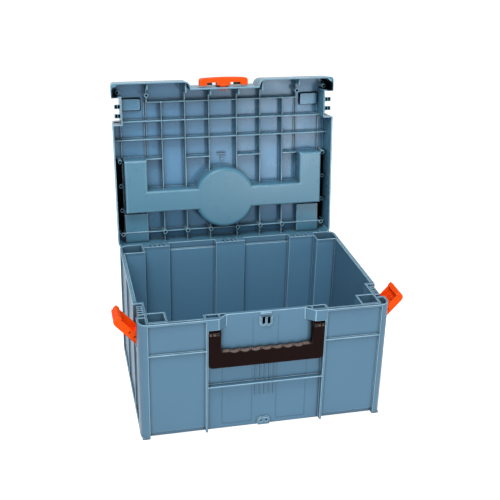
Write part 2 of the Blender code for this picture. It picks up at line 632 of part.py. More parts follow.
def build_lid(case, cutters):
    """The lid with its ribs, bosses, handle recess, catch bars and hinge fingers, in the closed pose."""
    body = bmesh.new()
    half = [(0, LID_FACE), (LID_CENTRE_X, LID_FACE), (LID_CENTRE_X, FRONT), (HALF_W, FRONT), (HALF_W, REAR)]
    radii = [0, 0, LID_EAR_R, LID_CORNER_R, CORNER_R]
    radii = radii + radii[:0:-1]
    add_prism(body, rounded(mirrored(half), radii), "Z", LID_LOW, LID_TOP)
    draw_in(body, LID_TOP, LID_DRAFT)
    lid = solid("lid_shell", body, case)
    tools = []
    below = BASE_TOP - OVER
    above = LID_TOP + OVER
    root = CEILING + EMBED

    hollow = bmesh.new()
    inner_x = HALF_W - LID_SIDE
    inner_front = FRONT + LID_SIDE
    inner_rear = REAR - LID_SIDE
    inner_centre = LID_FACE + LID_CENTRE_WALL
    notch_x = NOTCH_X - LID_SIDE
    notch_low = NOTCH_FRONT - LID_SIDE
    notch_high = NOTCH_REAR + LID_SIDE
    ear_x = LID_CENTRE_X + LID_SIDE
    ear_cut = LID_EAR_R - LID_SIDE
    plan = [(0, inner_centre), (ear_x, inner_centre), (ear_x, inner_front + ear_cut),
            (ear_x + LID_WALL, inner_front + LID_WALL), (ear_x + ear_cut, inner_front),
            (inner_x - LID_INNER_CUT, inner_front), (inner_x, inner_front + LID_INNER_CUT),
            (inner_x, notch_low), (notch_x, notch_low), (notch_x, notch_high), (inner_x, notch_high),
            (inner_x, inner_rear - LID_INNER_CUT), (inner_x - LID_INNER_CUT, inner_rear), (0, inner_rear)]
    add_prism(hollow, mirrored(plan), "Z", below, CEILING)
    draw_in(hollow, CEILING, LID_DRAFT)
    for side in (-1, 1):
        notch = (side * NOTCH_X, side * (HALF_W + OVER))
        add_box(hollow, notch, (NOTCH_FRONT, NOTCH_REAR), (below - STEP, above))
    tools.append(boolean(lid, "hollow", hollow, "DIFFERENCE", cutters))

    raised = bmesh.new()
    add_prism(raised, recess_outline(0.0, CROWN_R), "Z", BASE_TOP + U_DEPTH, root)
    for side in (-1, 1):
        for low_x, high_x, low_y, high_y, depth in (PAD_FRONT, PAD_REAR):
            add_box(raised, (side * low_x, side * high_x), (low_y, high_y), (BASE_TOP + depth, root))
        bar = (side * (NOTCH_X - EMBED), side * (HALF_W - BAR_OUT))
        for low_y, high_y in CATCH_BARS:
            add_box(raised, bar, (low_y, high_y), (BASE_TOP + BAR_LOW, BASE_TOP + BAR_TOP))
    add_cylinder(raised, "Z", (0, DOME_Y), DOME_R, BASE_TOP + DOME_DEPTH, root + STEP, 48)
    tools.append(boolean(lid, "raised", raised, "UNION", cutters))

    ribs = bmesh.new()
    rib_high = (BASE_TOP + RIB_DEPTH, root)
    for x, start in zip(RIB_X + (RIB_SHORT_X,), (inner_centre - EMBED, inner_front + EMBED, ROW_FRONT)):
        stop = U_BAR_FRONT + EMBED
        resume = U_REAR - EMBED
        if x < DOME_R:
            reach = math.sqrt(DOME_R ** 2 - x ** 2) - EMBED
            stop = DOME_Y - reach
            resume = DOME_Y + reach
        for side in (-1, 1):
            rib = (side * x - RIB_HALF, side * x + RIB_HALF)
            add_box(ribs, rib, (start, stop), rib_high)
            add_box(ribs, rib, (resume, inner_rear - EMBED), rib_high)
    thin_high = (BASE_TOP + RIB_THIN_DEPTH, root)
    row_high = (BASE_TOP + ROW_DEPTH, root + STEP)
    for side in (-1, 1):
        thin = (side * RIB_THIN_X - RIB_THIN_HALF, side * RIB_THIN_X + RIB_THIN_HALF)
        add_box(ribs, thin, (ROW_FRONT, U_FRONT + EMBED), thin_high)
        thin = [x + side * RIB_THIN_PITCH for x in thin]
        add_box(ribs, thin, (ROW_FRONT, U_FRONT + EMBED), thin_high)
        front_rib = (side * RIB_THIN_X - RIB_HALF, side * RIB_THIN_X + RIB_HALF)
        add_box(ribs, front_rib, (inner_front + EMBED, ROW_FRONT), rib_high)
        for x, low_y, high_y in GUSSETS:
            gusset = (side * x - RIB_HALF - STEP, side * x + RIB_HALF + STEP)
            add_box(ribs, gusset, (low_y, high_y), (BASE_TOP + GUSSET_DEPTH, root + 2 * STEP))
        side_rib = (side * (NOTCH_X - LID_SIDE + STEP), side * (NOTCH_X - STEP))
        add_box(ribs, side_rib, (NOTCH_REAR, U_FRONT + EMBED), (BASE_TOP + SIDE_RIB_DEPTH, root + 2 * STEP))
        for near, far in ROW_U_PARTS:
            add_box(ribs, (side * near, side * far), (ROW_U - RIB_HALF, ROW_U + RIB_HALF), row_high)
    for y, reach in ROWS:
        add_box(ribs, (-reach, reach), (y - RIB_HALF, y + RIB_HALF), row_high)
    for x, y in BOSSES:
        for side in (-1, 1):
            add_cylinder(ribs, "Z", (side * x, y), BOSS_R, BASE_TOP + BOSS_DEPTH, root + 3 * STEP, 12)
    tools.append(boolean(lid, "ribs", ribs, "UNION", cutters))

    fingers = bmesh.new()
    radius = HINGE_R - CLEAR
    finger_top = LID_LOW + FINGER_UP
    profile = arc((REAR, HINGE_Z), radius, math.pi, math.pi + FINGER_WRAP, 14)
    profile = profile + [(REAR - CLEAR, HINGE_Z + HINGE_R), (REAR - CLEAR, finger_top),
                         (REAR - radius, finger_top)]
    for label, station in HINGE_STATIONS:
        for start in (-HINGE_HALF + HINGE_STEP, HINGE_HALF - 2 * HINGE_STEP):
            low = station + start + CLEAR
            add_prism(fingers, profile, "X", low, low + HINGE_STEP - 2 * CLEAR)
    tools.append(boolean(lid, "fingers", fingers, "UNION", cutters))

    top = bmesh.new()
    recess_low = BASE_TOP + U_DEPTH + U_WALL
    add_prism(top, recess_outline(U_WALL, WELL_R), "Z", recess_low, above)
    for side in (-1, 1):
        for low_x, high_x, low_y, high_y, depth in (PAD_FRONT, PAD_REAR):
            pocket = (side * (low_x + U_WALL), side * (high_x - U_WALL))
            pocket_y = (low_y + U_WALL, high_y - POCKET_END)
            add_box(top, pocket, pocket_y, (BASE_TOP + depth + U_WALL, above))
        for x, y in BOSSES:
            hole_high = CEILING - BOSS_HOLE_STOP
            add_cylinder(top, "Z", (side * x, y), BOSS_HOLE_R, below, hole_high, 8)
        for low_y, high_y in CATCH_BARS:
            middle = (low_y + high_y) / 2
            for near, far in BAR_SLOTS:
                slot_y = (middle - BAR_SLOT_HALF, middle + BAR_SLOT_HALF)
                add_box(top, (side * near, side * far), slot_y, (below, BASE_TOP + BAR_TOP - BAR_SKIN))
        hold = GRIP_PIN_HOLD + CLEAR
        ends = sorted((side * (U_IN + U_WALL - hold), side * (U_OUT - U_WALL + hold)))
        add_cylinder(top, "X", (GRIP_PIVOT_Y, GRIP_Z), GRIP_PIN_R + CLEAR, ends[0], ends[1], 16)
    add_cylinder(top, "Y", (0, LOCK_Z), LOCK_SHAFT_R + CLEAR, FRONT, inner_centre + EMBED, 24)
    for label, station in HINGE_STATIONS:
        low = station - HINGE_HALF
        add_cylinder(top, "X", (REAR, HINGE_Z), HINGE_PIN_R + CLEAR, low, low + 2 * HINGE_HALF, 16)
    tools.append(boolean(lid, "top", top, "DIFFERENCE", cutters))
    finish(lid, BODY_BLUE, BODY_ROUGH)
    return lid, tools


def build_lock(case, cutters):
    """The turning lock: arched bar, tongue with a lip, and a split snap shaft."""
    body = bmesh.new()
    rise = LOCK_END_DEEP - LOCK_FACE
    arch_r = (LOCK_HALF ** 2 + rise ** 2) / (2 * rise)
    turn = math.asin(LOCK_HALF / arch_r)
    down = -math.pi / 2
    arch = arc((0, FRONT + LOCK_FACE + arch_r), arch_r, down - turn, down + turn, 12)
    arch = arch + [(LOCK_HALF, FRONT + LOCK_BACK), (-LOCK_HALF, FRONT + LOCK_BACK)]
    radii = [LOCK_END_R] + [0] * (len(arch) - 4) + [LOCK_END_R, 0, 0]
    add_prism(body, rounded(arch, radii, 3), "Z", LOCK_Z - LOCK_BAR_HALF, LOCK_Z + LOCK_BAR_HALF)
    lock = solid("lock_knob", body, case)

    added = bmesh.new()
    up = math.pi / 2
    centre = (0, LOCK_Z)
    spread = LOCK_TONGUE_ANGLE
    side_x = LOCK_TONGUE_R * math.sin(spread)
    plate = arc(centre, LOCK_TONGUE_R, up - spread, up + spread, 8) + [(-side_x, LOCK_Z), (side_x, LOCK_Z)]
    add_prism(added, plate, "Y", FRONT + LOCK_PLATE[0], FRONT + LOCK_PLATE[1])
    spread = LOCK_TONGUE_ANGLE * LOCK_LIP_PART
    lip = arc(centre, LOCK_TONGUE_R - STEP, up - spread, up + spread, 8)
    lip = lip + arc(centre, LOCK_LIP_R, up + spread, up - spread, 8)
    add_prism(added, lip, "Y", FRONT + LOCK_PLATE[1] - EMBED, FRONT + LOCK_LIP_END)
    add_cylinder(added, "Y", centre, LOCK_HUB_R, FRONT + LOCK_BACK - 2 * EMBED, LID_FACE - CLEAR, 24)
    wall_in = LID_FACE + LID_CENTRE_WALL
    head = wall_in + CLEAR
    add_cylinder(added, "Y", centre, LOCK_SHAFT_R, FRONT + LOCK_BACK - EMBED, head + EMBED, 24)
    add_cylinder(added, "Y", centre, LOCK_HEAD_R, head, head + LOCK_HEAD_LONG, 24)
    tools = [boolean(lock, "added", added, "UNION", cutters)]

    windows = bmesh.new()
    window_y = (FRONT + LOCK_WINDOW_DEEP, LID_FACE)
    for side in (-1, 1):
        window = (side * LOCK_WINDOW[0], side * LOCK_WINDOW[1])
        add_box(windows, window, window_y, (LOCK_Z - OVER, LOCK_Z + OVER))
    split = (-LOCK_SPLIT_HALF, LOCK_SPLIT_HALF)
    add_box(windows, split, (wall_in - LOCK_SPLIT_DEEP, wall_in + OVER), (LOCK_Z - OVER, LOCK_Z + OVER))
    tools.append(boolean(lock, "windows", windows, "DIFFERENCE", cutters))
    finish(lock, ORANGE, ORANGE_ROUGH)
    return lock, tools


def build_latch(label, side, case, cutters):
    """One side latch in the closed pose."""
    face = LATCH_PIVOT_X + LATCH_FACE
    skin = face - LATCH_SKIN
    lip_low = BASE_TOP + LIP_RISE
    tip = LATCH_PIVOT_Z + LATCH_TIP
    lip_in = face - LATCH_LIP_DEEP
    points = [(lip_in, lip_low), (skin, lip_low), (skin, LATCH_PIVOT_Z), (face, LATCH_PIVOT_Z),
              (face, tip), (lip_in, tip)]
    profile = rounded(points, [0, 0, 0, 0, LATCH_R, LATCH_LIP_R])
    body = bmesh.new()
    add_prism(body, [(side * x, z) for x, z in profile], "Y", LATCH_FRONT, LATCH_REAR)
    latch = solid("side_latch_" + label, body, case)

    added = bmesh.new()
    axle = (side * LATCH_PIVOT_X, LATCH_PIVOT_Z)
    front = LATCH_FRONT + STEP
    rear = LATCH_REAR - STEP
    add_cylinder(added, "Y", axle, LATCH_KNUCKLE, front, rear)
    wall = (side * (face - LATCH_WALL_DEEP), side * (skin + EMBED))
    wall_high = (LATCH_PIVOT_Z, lip_low + EMBED)
    add_box(added, wall, (front, LATCH_FRONT + LATCH_WALL), wall_high)
    add_box(added, wall, (LATCH_REAR - LATCH_WALL, rear), wall_high)
    tools = [boolean(latch, "added", added, "UNION", cutters)]

    bore = bmesh.new()
    add_cylinder(bore, "Y", axle, LATCH_PIN_R + CLEAR, LATCH_FRONT - OVER, LATCH_REAR + OVER, 16)
    groove = (side * (face - LATCH_GROOVE[0]), side * (face - LATCH_GROOVE[1]))
    add_box(bore, groove, (LATCH_FRONT - OVER, LATCH_REAR + OVER), (tip - LATCH_GROOVE_DEEP, tip + OVER))
    tools.append(boolean(latch, "bore", bore, "DIFFERENCE", cutters))
    finish(latch, ORANGE, ORANGE_ROUGH)
    return latch, tools


def build_front_handle(case, cutters):
    """The carrying handle on the front, hanging down."""
    half = [(HANDLE_OUT, HANDLE_LOW), (HANDLE_OUT, HANDLE_PIVOT_Z), (HANDLE_IN, HANDLE_PIVOT_Z),
            (HANDLE_IN, HANDLE_BAR_TOP)]
    radii = [HANDLE_CORNER, 0, 0, HANDLE_INNER_R, HANDLE_INNER_R, 0, 0, HANDLE_CORNER]
    body = bmesh.new()
    add_prism(body, rounded(mirrored(half), radii, 3), "Y", FRONT, FRONT + HANDLE_THICK)
    handle = solid("front_handle", body, case)

    ends = bmesh.new()
    bores = bmesh.new()
    axle = (HANDLE_Y, HANDLE_PIVOT_Z)
    for side in (-1, 1):
        span = sorted((side * (HANDLE_IN + STEP), side * (HANDLE_OUT - STEP)))
        add_cylinder(ends, "X", axle, HANDLE_R, span[0], span[1])
        span = sorted((side * (HANDLE_IN + HANDLE_PIN_IN - CLEAR), side * (HANDLE_OUT + OVER)))
        add_cylinder(bores, "X", axle, HANDLE_PIN_R + CLEAR, span[0], span[1], 16)
    boolean(handle, "ends", ends, "UNION", cutters)
    for index in range(SCALLOPS):
        middle = (index - (SCALLOPS - 1) / 2) * SCALLOP_PITCH
        centre = (middle, HANDLE_BAR_TOP + SCALLOP_R - SCALLOP_DEEP)
        add_cylinder(bores, "Y", centre, SCALLOP_R, FRONT - OVER, FRONT + HANDLE_THICK + OVER, 24)
    boolean(handle, "bores", bores, "DIFFERENCE", cutters)
    finish(handle, BROWN, BROWN_ROUGH)
    return handle


def build_lid_handle(case, cutters):
    """The handle folded into the lid's top recess, in the closed pose."""
    half = [(GRIP_ARM_IN, GRIP_BAR_FRONT), (GRIP_ARM_IN, GRIP_PIVOT_Y), (GRIP_ARM_OUT, GRIP_PIVOT_Y),
            (GRIP_ARM_OUT, GRIP_BAR_REAR)]
    radii = [GRIP_INNER_R, 0, 0, GRIP_OUTER_R, GRIP_OUTER_R, 0, 0, GRIP_INNER_R]
    body = bmesh.new()
    add_prism(body, rounded(mirrored(half), radii, 3), "Z", GRIP_Z - GRIP_BELOW, GRIP_Z + GRIP_ABOVE)
    handle = solid("lid_handle", body, case)
    ends = bmesh.new()
    bores = bmesh.new()
    axle = (GRIP_PIVOT_Y, GRIP_Z)
    for side in (-1, 1):
        span = sorted((side * (GRIP_ARM_IN + STEP), side * (GRIP_ARM_OUT - STEP)))
        add_cylinder(ends, "X", axle, GRIP_R, span[0], span[1])
        add_cylinder(bores, "X", axle, GRIP_PIN_R + CLEAR, span[0] - OVER, span[1] + OVER, 16)
    tools = [boolean(handle, "ends", ends, "UNION", cutters)]
    tools.append(boolean(handle, "bores", bores, "DIFFERENCE", cutters))
    finish(handle, BROWN, BROWN_ROUGH)
    return handle, tools


def build_pin(name, axis, centre, radius, ends, case):
    """One round pin between two points of its axis."""
    body = bmesh.new()
    low, high = sorted(ends)
    add_cylinder(body, axis, centre, radius, low, high, 16)
    pin = solid(name, body, case)
    finish(pin, STEEL, STEEL_ROUGH, 1.0, 60.0)
    return pin


def main():
    """Build every piece, then turn the lid and the latches to the photographed pose."""
    for item in list(bpy.data.objects):
        bpy.data.objects.remove(item, do_unlink=True)
    case = bpy.data.collections.new("storage_case")
    cutters = bpy.data.collections.new("cutters")
    bpy.context.scene.collection.children.link(case)
    bpy.context.scene.collection.children.link(cutters)

    build_base(case, cutters)
    lid, lid_tools = build_lid(case, cutters)
    lock, lock_tools = build_lock(case, cutters)
    grip, grip_tools = build_lid_handle(case, cutters)
    handle = build_front_handle(case, cutters)

    for label, station in HINGE_STATIONS:
        reach = HINGE_HALF - EMBED
        hold = (station - reach, station + reach)
        build_pin("hinge_pin_" + label, "X", (REAR, HINGE_Z), HINGE_PIN_R, hold, case)
    grip_pins = []
    for label, side in SIDES:
        hold = (side * (HANDLE_IN + HANDLE_PIN_IN), side * (BAY_RIB_OUT - EMBED))
        build_pin("front_handle_pin_" + label, "X", (HANDLE_Y, HANDLE_PIVOT_Z), HANDLE_PIN_R, hold, case)
        hold = (side * (U_IN + U_WALL - GRIP_PIN_HOLD), side * (U_OUT - U_WALL + GRIP_PIN_HOLD))
        pin = build_pin("lid_handle_pin_" + label, "X", (GRIP_PIVOT_Y, GRIP_Z), GRIP_PIN_R, hold, case)
        grip_pins.append(pin)
        hold = (LATCH_FRONT - POCKET_SIDE - LATCH_PIN_HOLD, LATCH_REAR + POCKET_SIDE + LATCH_PIN_HOLD)
        centre = (side * LATCH_PIVOT_X, LATCH_PIVOT_Z)
        build_pin("latch_pin_" + label, "Y", centre, LATCH_PIN_R, hold, case)
        latch, latch_tools = build_latch(label, side, case, cutters)
        place = (side * LATCH_PIVOT_X, 0, LATCH_PIVOT_Z)
        latch_pivot = pivot("latch_pivot_" + label, place, case, [latch] + latch_tools)
        latch_pivot.rotation_euler.y = side * LATCH_SWING

    handle_pivot = pivot("front_handle_pivot", (0, HANDLE_Y, HANDLE_PIVOT_Z), case, [handle])
    handle_pivot.rotation_euler.x = 0.0
    on_lid = [lid, lock, grip] + lid_tools + lock_tools + grip_tools + grip_pins
    lid_pivot = pivot("lid_pivot", (0, REAR, HINGE_Z), case, on_lid)
    lid_pivot.rotation_euler.x = -LID_OPEN
    bpy.context.view_layer.update()


main()
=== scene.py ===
"""Stackable storage case, dressed as satin moulded plastic on a white studio floor."""

import json
import math

import bmesh
import bpy
from bpy.props import FloatProperty, FloatVectorProperty, PointerProperty
from mathutils import Matrix, Vector


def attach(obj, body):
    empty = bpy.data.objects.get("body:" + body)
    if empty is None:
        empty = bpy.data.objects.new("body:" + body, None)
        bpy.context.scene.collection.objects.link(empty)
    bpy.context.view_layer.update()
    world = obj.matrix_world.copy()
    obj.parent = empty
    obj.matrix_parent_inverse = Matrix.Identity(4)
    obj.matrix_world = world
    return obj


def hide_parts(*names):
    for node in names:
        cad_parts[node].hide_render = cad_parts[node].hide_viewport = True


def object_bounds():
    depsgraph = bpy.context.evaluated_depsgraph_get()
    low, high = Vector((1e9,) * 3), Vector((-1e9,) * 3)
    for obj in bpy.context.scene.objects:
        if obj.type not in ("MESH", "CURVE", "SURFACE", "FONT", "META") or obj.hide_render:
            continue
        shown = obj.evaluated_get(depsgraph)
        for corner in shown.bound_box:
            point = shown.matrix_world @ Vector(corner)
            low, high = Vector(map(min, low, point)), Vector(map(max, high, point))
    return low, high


bl_info = {
    "name": "Storage Case",
    "version": (1, 0, 0),
    "blender": (4, 5, 0),
    "location": "3D View > Sidebar > Case",
    "description": "Dresses the stackable storage case and its studio",
    "category": "Object",
}

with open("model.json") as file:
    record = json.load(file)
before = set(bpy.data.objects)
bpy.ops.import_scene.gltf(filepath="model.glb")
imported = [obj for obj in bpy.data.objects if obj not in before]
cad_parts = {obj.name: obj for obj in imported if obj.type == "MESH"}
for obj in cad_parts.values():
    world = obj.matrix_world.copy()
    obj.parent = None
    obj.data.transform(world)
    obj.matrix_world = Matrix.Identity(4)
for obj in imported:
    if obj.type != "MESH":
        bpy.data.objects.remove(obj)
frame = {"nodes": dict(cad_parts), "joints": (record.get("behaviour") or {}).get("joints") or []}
CAD_BOX = [list(corner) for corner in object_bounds()]
MM = 0.001
SIDES = (("left", -1), ("right", 1))


def joint_place(name):
    """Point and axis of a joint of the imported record."""
    for joint in frame["joints"]:
        if joint["name"] == name:
            return Vector(joint["pos_m"]), Vector(joint["axis"])
    raise RuntimeError("no joint named " + name)


def joint_turn(name, angle):
    """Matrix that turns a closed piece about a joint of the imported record."""
    point, axis = joint_place(name)
    shift = Matrix.Translation(point)
    return shift @ Matrix.Rotation(angle, 4, axis) @ shift.inverted()


# Lengths are millimetres in the closed case
BASE_TOP = 205.6
FRONT = -148.0
HALF_WIDTH = 198.0
CORNER_ROUND = 15.0
LID_TURN = joint_turn("lid_hinge", math.radians(-96.7))
LATCH_TURN = math.radians(42.0)
U_DEPTH = 9.0
DOME = (0.0, 65.0, 55.0, 14.0)
CEILING = 43.0
LID_LEAN = 3.0 / 45.7
BOSSES = ((185.5, -129.5), (135.5, -123.0), (186.3, -8.0), (186.3, 36.0), (186.3, 80.5), (186.3, 125.4),
          (110.0, 125.4), (68.3, 125.4), (25.2, 125.4))
PAD = (146.0, 177.0, -115.0, -96.0)
LATCH_HOLLOW = (188.4, 194.2)
LATCH_WALLS = (-114.8, -81.2)
COMB_FIRST = FRONT + 41.0
COMB_PITCH = 6.0
COMB_SLOTS = 4
KNUCKLE_REACH = 7.2
HANDLE_SKIN = (FRONT - 0.15, FRONT + 2.0)

# Radii of rounded edges in metres
PAD_ROUND = 0.0025
RECESS_ROUND = 0.0036
STEP_ROUND = 0.0022
THIN_ROUND = 0.0004
FINE_ROUND = 0.0003

# Limits for joining vertices, joining flat faces, rounding edges and smoothing
JOINED = 0.000002
FLAT = math.radians(0.5)
SHARP = math.radians(28)
SMOOTH = math.radians(50)

# Lamps: setting of the power, place, width and height
LAMPS = (("key", (0.66, -1.95, 0.27), (0.20, 0.45)),
         ("fill", (-0.50, -2.05, 1.20), (1.20, 1.20)),
         ("top", (-0.45, -0.75, 2.05), (0.90, 0.90)))
LAMP_AIM = (0.0, 0.05, 0.2)


def front_face(height):
    """Depth of the leaning centre face of the base at a height."""
    return FRONT + 8.0 + 5.0 * (height - 2.0) / (BASE_TOP - 2.0)


class CaseFinish(bpy.types.PropertyGroup):
    """Colours and surface of the case's plastics."""
    body: FloatVectorProperty(name="Body", description="Blue grey of the base", subtype="COLOR",
                              size=3, min=0, max=1, default=(0.080, 0.185, 0.283))
    # Painted light: a paler tone painted on the walls inside the base
    cavity: FloatVectorProperty(name="Cavity", description="Paler tone inside the base", subtype="COLOR",
                                size=3, min=0, max=1, default=(0.100, 0.236, 0.362))
    lid: FloatVectorProperty(name="Lid", description="Blue grey of the lid", subtype="COLOR",
                             size=3, min=0, max=1, default=(0.082, 0.224, 0.326))
    # Painted light: a paler, bluer tone painted deep in the lid
    ceiling: FloatVectorProperty(name="Ceiling", description="Bluer tone deep in the lid", subtype="COLOR",
                                 size=3, min=0, max=1, default=(0.090, 0.244, 0.410))
    # Painted highlight: pale blue painted on the rounded edges
    body_highlight: FloatVectorProperty(name="Body edge", description="Paler blue where edges are rubbed",
                                   subtype="COLOR", size=3, min=0, max=1, default=(0.330, 0.530, 0.650))
    orange: FloatVectorProperty(name="Orange", description="Latches and lock", subtype="COLOR",
                                size=3, min=0, max=1, default=(0.980, 0.082, 0.004))
    brown: FloatVectorProperty(name="Brown", description="Handles", subtype="COLOR",
                               size=3, min=0, max=1, default=(0.0105, 0.0042, 0.0040))
    # Painted highlight and reflection: pale brown painted on the handles' edges, keys and the hollows of
    # the grip
    highlight_tone: FloatVectorProperty(name="Worn brown", description="Rubbed hollows of the grip", subtype="COLOR",
                              size=3, min=0, max=1, default=(0.26, 0.20, 0.175))
    steel: FloatVectorProperty(name="Steel", description="Pins", subtype="COLOR",
                               size=3, min=0, max=1, default=(0.48, 0.48, 0.49))
    roughness: FloatProperty(name="Roughness", description="Satin level of the plastics", subtype="FACTOR",
                             min=0, max=1, default=0.40)
    edge_round: FloatProperty(name="Edge rounding", description="Radius of the moulded edges",
                              unit="LENGTH", min=0, max=0.003, default=0.0007)


class CaseStudio(bpy.types.PropertyGroup):
    """Camera, lamps and floor."""
    camera: FloatVectorProperty(name="Camera", description="Place of the camera", subtype="TRANSLATION",
                                unit="LENGTH", size=3, default=(-0.305, -1.277, 0.845))
    azimuth: FloatProperty(name="Azimuth", description="Direction of the camera round the case",
                           subtype="ANGLE", default=math.radians(-13.62))
    elevation: FloatProperty(name="Elevation", description="Camera's angle above the horizon",
                             subtype="ANGLE", default=math.radians(24.47))
    roll: FloatProperty(name="Roll", description="Turn about the viewing direction", subtype="ANGLE",
                        default=math.radians(1.51))
    lens: FloatProperty(name="Lens", description="Focal length in millimetres", default=63.1)
    floor: FloatProperty(name="Floor", description="Side of the floor", unit="LENGTH", default=12.0)
    key: FloatProperty(name="Key lamp", description="Power of the low lamp at the right", unit="POWER",
                       default=8.5)
    fill: FloatProperty(name="Fill lamp", description="Power of the wide lamp at the left", unit="POWER",
                        default=14.5)
    top: FloatProperty(name="Top lamp", description="Power of the lamp overhead", unit="POWER",
                       default=31.0)
    ambient: FloatProperty(name="Ambient", description="Strength of the soft light from all round",
                           default=0.30)
    glow: FloatProperty(name="Floor glow", description="White added to the floor where it is seen",
                        default=0.85)
    bounce: FloatProperty(name="Floor bounce", description="Light that the floor sends to the case",
                          default=0.08)


class Socket:
    """A shader output whose arithmetic adds Math nodes."""

    def __init__(self, finish, link):
        self.finish = finish
        self.link = link

    def join(self, operation, first, second):
        """One Math node."""
        return self.finish.node("ShaderNodeMath", {"operation": operation}, {0: first, 1: second})

    def __add__(self, other):
        return self.join("ADD", self, other)

    def __radd__(self, other):
        return self.join("ADD", other, self)

    def __sub__(self, other):
        return self.join("SUBTRACT", self, other)

    def __rsub__(self, other):
        return self.join("SUBTRACT", other, self)

    def __mul__(self, other):
        return self.join("MULTIPLY", self, other)

    def __rmul__(self, other):
        return self.join("MULTIPLY", other, self)


class Finish:
    """A material under construction."""

    def __init__(self, name):
        self.material = bpy.data.materials.new(name)
        self.material.use_nodes = True
        self.tree = self.material.node_tree
        self.shader = self.tree.nodes["Principled BSDF"]

    def node(self, kind, settings, inputs, output=0):
        """Add a node: its settings first, then values or links of its sockets."""
        made = self.tree.nodes.new(kind)
        for key, value in settings.items():
            setattr(made, key, value)
        for key, value in inputs.items():
            self.feed(made.inputs[key], value)
        return Socket(self, made.outputs[output])

    def feed(self, socket, value):
        """Link a socket, or set its own value."""
        if isinstance(value, Socket):
            self.tree.links.new(value.link, socket)
        elif isinstance(value, (tuple, list)) and len(value) == 3 and socket.type == "RGBA":
            socket.default_value = (*value, 1.0)
        else:
            socket.default_value = value

    def place(self):
        """Object coordinates."""
        return self.node("ShaderNodeTexCoord", {}, {}, "Object")

    def noise(self, scale, detail, roughness=0.5):
        """Noise in object space, from 0 to 1."""
        inputs = {"Vector": self.place(), "Scale": scale, "Detail": detail, "Roughness": roughness}
        return self.node("ShaderNodeTexNoise", {}, inputs, "Fac")

    def spread(self, value, low, high, to_low=0.0, to_high=1.0):
        """Map a range of a value to another range, clamped."""
        limits = {"Value": value, "From Min": low, "From Max": high, "To Min": to_low, "To Max": to_high}
        return self.node("ShaderNodeMapRange", {"clamp": True}, limits)

    def mix(self, factor, first, second):
        """Mix of two colours."""
        inputs = {"Factor": factor, "A": first, "B": second}
        return self.node("ShaderNodeMix", {"data_type": "RGBA"}, inputs, "Result")

    def axes(self):
        """The three object coordinates as numbers."""
        place = self.place()
        return [self.node("ShaderNodeSeparateXYZ", {}, {0: place}, axis) for axis in "XYZ"]

    def size(self, value):
        """A number without its sign."""
        return self.node("ShaderNodeMath", {"operation": "ABSOLUTE"}, {0: value})

    def band(self, value, low, high, soft):
        """One between two millimetre values and zero outside them."""
        rise = self.spread(value, (low - soft) * MM, low * MM)
        return rise * self.spread(value, (high + soft) * MM, high * MM)

    def set(self, name, value):
        """Feed an input of the surface shader."""
        self.feed(self.shader.inputs[name], value)


class Surroundings(Finish):
    """A world under construction."""

    def __init__(self, name):
        self.world = bpy.data.worlds.new(name)
        self.world.use_nodes = True
        self.tree = self.world.node_tree
        self.shader = self.tree.nodes["Background"]


def seen_level(finish, given, seen):
    """One level for the light that is given and another where the camera or a reflection looks."""
    kinds = ("Is Camera Ray", "Is Glossy Ray", "Is Transmission Ray")
    rays = [finish.node("ShaderNodeLightPath", {}, {}, kind) for kind in kinds]
    return finish.spread(rays[0] + rays[1] + rays[2], 0.0, 1.0, given, seen)


def moulded_plastic(name, colour, highlight_colour, roughness, shade=0.93, crevice_shade=0.20, shine=0.32, slots=None,
                    inside=None, lit_inside_colour=None):
    """Satin moulded plastic with flow marks, grain, painted highlights on its rounded edges, painted shade
    in its crevices and black painted shade in its slots.
    """
    finish = Finish(name)
    flow = finish.noise(7.0, 2.0)
    mottle = finish.noise(45.0, 3.0, 0.55)
    grain = finish.noise(2600.0, 2.0)
    dark = tuple(value * shade for value in colour)
    tone = finish.mix(finish.spread(flow * 0.7 + mottle * 0.3, 0.30, 0.70), dark, colour)
    # Painted light: the inside is painted a paler tone
    if inside:
        tone = finish.mix(inside(finish), tone, lit_inside_colour)
    # Painted highlight: faces marked as edges are painted pale, patchy with the mottle, and made glossier
    edge = finish.node("ShaderNodeAttribute", {"attribute_name": "edge"}, {}, "Fac")
    highlit = edge * finish.spread(mottle, 0.25, 0.65, 0.55, 1.0)
    highlight_tone = finish.mix(highlit, tone, highlight_colour)
    # Painted shade: near and wide ambient occlusion darken the colour in crevices, corners and recesses
    near = finish.node("ShaderNodeAmbientOcclusion", {"samples": 8}, {"Distance": 0.006}, "AO")
    wide = finish.node("ShaderNodeAmbientOcclusion", {"samples": 8}, {"Distance": 0.06}, "AO")
    unshaded = finish.spread(near, 0.38, 0.97) * finish.spread(wide, 0.12, 0.62, 0.45, 1.0)
    tone = finish.mix(unshaded, finish.mix(crevice_shade, (0, 0, 0), highlight_tone), highlight_tone)
    if slots:
        # Painted shade: the slots, gaps and holes are painted black, and a metal input with a black colour
        # takes the sheen out of them
        hollow = slots(finish)
        tone = finish.mix(hollow, tone, (0.001, 0.001, 0.001))
        finish.set("Metallic", hollow)
    finish.set("Base Color", tone)
    satin = finish.spread(mottle * 0.5 + flow * 0.5, 0.3, 0.7, roughness - 0.04, roughness + 0.06)
    finish.set("Roughness", satin * finish.spread(highlit, 0.0, 1.0, 1.0, 0.55))
    relief = {"Strength": 0.12, "Distance": 0.0002, "Height": grain}
    finish.set("Normal", finish.node("ShaderNodeBump", {}, relief, "Normal"))
    finish.shader.inputs["Specular IOR Level"].default_value = shine
    return finish.material


